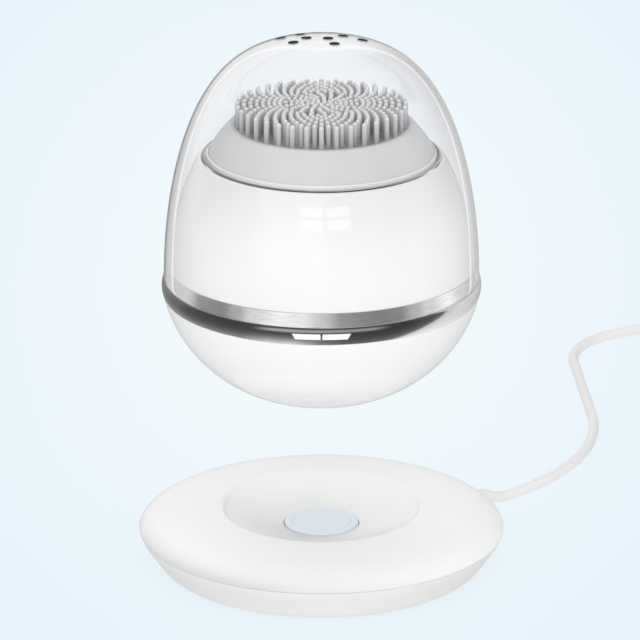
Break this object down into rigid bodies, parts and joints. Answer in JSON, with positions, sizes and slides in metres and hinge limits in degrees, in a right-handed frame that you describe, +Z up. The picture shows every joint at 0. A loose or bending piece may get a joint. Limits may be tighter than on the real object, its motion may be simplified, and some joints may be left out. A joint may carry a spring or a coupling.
{
  "type": "facial cleansing brush",
  "caption": "Egg-shaped facial cleansing brush with a rotating silicone bristle head, clear dome cover and buttons on a metal band, held over a round charging base with its cable.",
  "frame": {"origin": "centre of the charging base's underside, on the surface it stands on", "axes": "+Z up; the brush's axis and the base's axis are both Z; the two buttons face -Y; the cable leaves towards +X and +Y"},
  "size_m": [0.1761, 0.2326, 0.1276],
  "materials": {
    "shell_white": "high gloss",
    "base_white": "satin gloss",
    "puck_white": "gloss",
    "base_grey": "satin",
    "pad_rubber": "matte",
    "copper_wire": "enamelled wire",
    "ferrite": "sintered",
    "circuit_board": "solder mask",
    "chip_black": "moulded",
    "screw_steel": "machined",
    "cable_white": "soft satin",
    "inner_plastic": "moulded",
    "polished_metal": "polished dark chrome",
    "brushed_metal": "brushed",
    "trim_metal": "polished",
    "seal_rubber": "matte",
    "motor_steel": "drawn can",
    "bush_brass": "sintered",
    "cell_wrap": "heat-shrink wrap",
    "silicone_white": "matte",
    "lead_insulation": "satin",
    "gear_plastic": "acetal",
    "silicone_grey": "soft satin",
    "carrier_white": "gloss",
    "clear_plastic": "clear",
    "button_white": "gloss"
  },
  "bodies": {
    "charging_base": {"base_top_shell": "base_white", "dish_puck": "puck_white", "base_bottom_cover": "base_grey", "anti_slip_pad": "pad_rubber", "transmit_coil": "copper_wire", "transmit_ferrite": "ferrite", "base_board": "circuit_board", "base_board_parts": "chip_black", "base_screws": "screw_steel", "cable_grommet": "cable_white", "power_cable": "cable_white", "usb_plug_body": "cable_white", "usb_plug_shell": "screw_steel", "usb_plug_tongue": "inner_plastic"},
    "brush_body": {"lower_shell": "shell_white", "polished_ring": "polished_metal", "brushed_collar": "brushed_metal", "upper_shell": "shell_white", "head_trim_ring": "trim_metal", "body_seal": "seal_rubber", "chassis_plate": "inner_plastic", "gearbox_cover": "inner_plastic", "motor": "motor_steel", "motor_screws": "screw_steel", "upper_shaft_bush": "bush_brass", "lower_shaft_bush": "bush_brass", "shaft_seal": "seal_rubber", "idler_axle": "screw_steel", "battery_cell": "cell_wrap", "battery_tray": "inner_plastic", "main_board": "circuit_board", "main_board_parts": "chip_black", "receive_coil": "copper_wire", "receive_ferrite": "ferrite", "coil_carrier": "inner_plastic", "button_board": "circuit_board", "tact_switches": "chip_black", "button_seal": "silicone_white", "chassis_screws": "screw_steel", "cover_screws": "screw_steel", "motor_leads": "lead_insulation", "battery_leads": "lead_insulation", "coil_leads": "lead_insulation"},
    "spindle": {"head_spindle": "screw_steel", "output_gear": "gear_plastic", "spindle_clip": "screw_steel"},
    "idler": {"idler_gear": "gear_plastic"},
    "pinion": {"motor_pinion": "bush_brass"},
    "brush_head": {"silicone_brush_pad": "silicone_grey", "head_carrier": "carrier_white"},
    "dome": {"dome_cover": "clear_plastic"},
    "power_button": {"power_button": "button_white"},
    "mode_button": {"mode_button": "button_white"}
  },
  "joints": [
    {"name": "brush_dock", "type": "slide", "parent": "charging_base", "child": "brush_body", "axis": [0, 0, 1], "range_m": [-0.0319, 0]},
    {"name": "dome_lift", "type": "slide", "parent": "brush_body", "child": "dome", "axis": [0, 0, 1], "range_m": [0, 0.045]},
    {"name": "head_spin", "type": "hinge", "parent": "brush_body", "child": "spindle", "pos_m": [0, 0, 0.09], "axis": [0, 0, 1], "continuous": true},
    {"name": "idler_spin", "type": "hinge", "parent": "brush_body", "child": "idler", "pos_m": [0, 0.012, 0.09], "axis": [0, 0, 1], "continuous": true},
    {"name": "pinion_spin", "type": "hinge", "parent": "brush_body", "child": "pinion", "pos_m": [0.012, 0.012, 0.09], "axis": [0, 0, 1], "continuous": true},
    {"name": "head_pull", "type": "slide", "parent": "spindle", "child": "brush_head", "axis": [0, 0, 1], "range_m": [0, 0.006]},
    {"name": "power_press", "type": "slide", "parent": "brush_body", "child": "power_button", "axis": [0, 1, 0], "range_m": [0, 0.0005], "stiffness_N_per_m": 600},
    {"name": "mode_press", "type": "slide", "parent": "brush_body", "child": "mode_button", "axis": [0, 1, 0], "range_m": [0, 0.0005], "stiffness_N_per_m": 600}
  ],
  "couplings": [
    {"joint": "idler_spin", "follows": "head_spin", "ratio": -3},
    {"joint": "pinion_spin", "follows": "head_spin", "ratio": 9}
  ]
}
